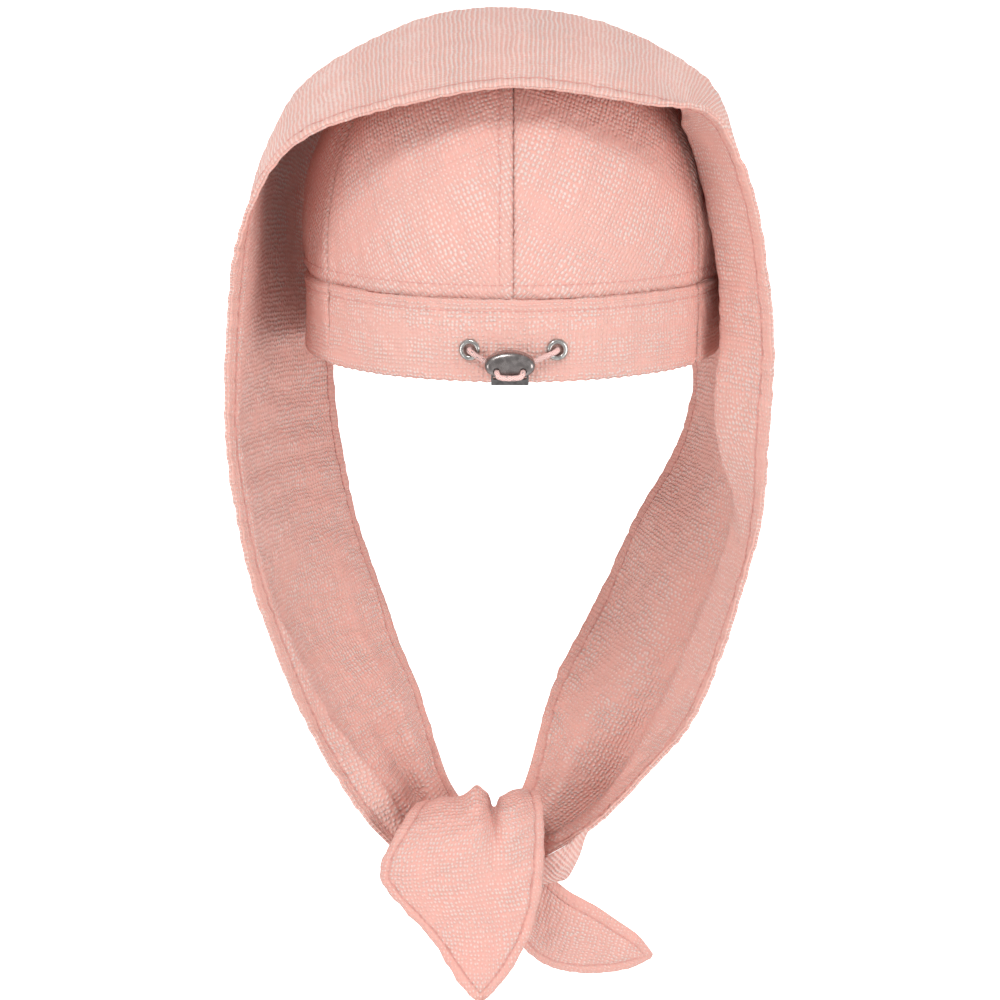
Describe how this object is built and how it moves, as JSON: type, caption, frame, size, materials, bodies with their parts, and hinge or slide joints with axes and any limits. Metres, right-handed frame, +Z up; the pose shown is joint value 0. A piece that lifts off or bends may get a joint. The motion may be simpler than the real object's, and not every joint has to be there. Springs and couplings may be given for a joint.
{
  "type": "scarf bucket hat",
  "caption": "Deep six-panel cotton hat with a band, rear drawcord and cord lock, short front brim, and a long scarf sewn over the crown that ties under the chin.",
  "frame": {"origin": "centre of the head opening, in the plane of the band's lower edge", "axes": "+Z up, out of the crown; +Y to the front of the hat, where the face is; +X to the wearer's right"},
  "size_m": [0.2242, 0.265, 0.428],
  "materials": {
    "seersucker_cotton": "pink checked seersucker, puckered, matt",
    "cotton_twill": "pink cotton twill",
    "label_satin": "blank white satin ribbon",
    "stiffener": "non-woven interlining",
    "nickel": "bright nickel",
    "pink_cord": "round braided cotton, pink with grey flecks",
    "gunmetal": "glossy gunmetal plating",
    "dark_metal": "satin grey metal",
    "spring_steel": "bright spring wire"
  },
  "bodies": {
    "root": {"band_back": "seersucker_cotton", "band_front": "seersucker_cotton", "brim_interlining": "stiffener", "brim_lower": "seersucker_cotton", "brim_upper": "seersucker_cotton", "care_label": "label_satin", "crown_panel_back_left": "seersucker_cotton", "crown_panel_back_right": "seersucker_cotton", "crown_panel_front_left": "seersucker_cotton", "crown_panel_front_right": "seersucker_cotton", "crown_panel_left": "seersucker_cotton", "crown_panel_right": "seersucker_cotton", "crown_seam_tapes": "cotton_twill", "drawcord": "pink_cord", "eyelet_left": "nickel", "eyelet_right": "nickel", "eyelet_washer_left": "nickel", "eyelet_washer_right": "nickel", "scarf_knot": "seersucker_cotton", "scarf_lining_hood": "seersucker_cotton", "scarf_lining_tie_left": "seersucker_cotton", "scarf_lining_tie_right": "seersucker_cotton", "scarf_outer_hood": "seersucker_cotton", "scarf_outer_tie_left": "seersucker_cotton", "scarf_outer_tie_right": "seersucker_cotton", "scarf_tail_left": "seersucker_cotton", "scarf_tail_right": "seersucker_cotton", "sweatband": "cotton_twill", "top_button": "seersucker_cotton"},
    "cord_lock": {"cord_lock_shell": "gunmetal", "cord_lock_spring": "spring_steel"},
    "plunger": {"cord_lock_plunger": "dark_metal"}
  },
  "joints": [
    {"name": "cord_lock_slide", "type": "slide", "parent": "root", "child": "cord_lock", "axis": [0, -1, 0], "range_m": [0, 0.003], "deforming": ["drawcord"]},
    {"name": "cord_lock_press", "type": "slide", "parent": "cord_lock", "child": "plunger", "axis": [0, 0, 1], "range_m": [0, 0.002], "stiffness_N_per_m": 300, "springref_m": -0.001, "deforming": ["cord_lock_spring"]}
  ]
}
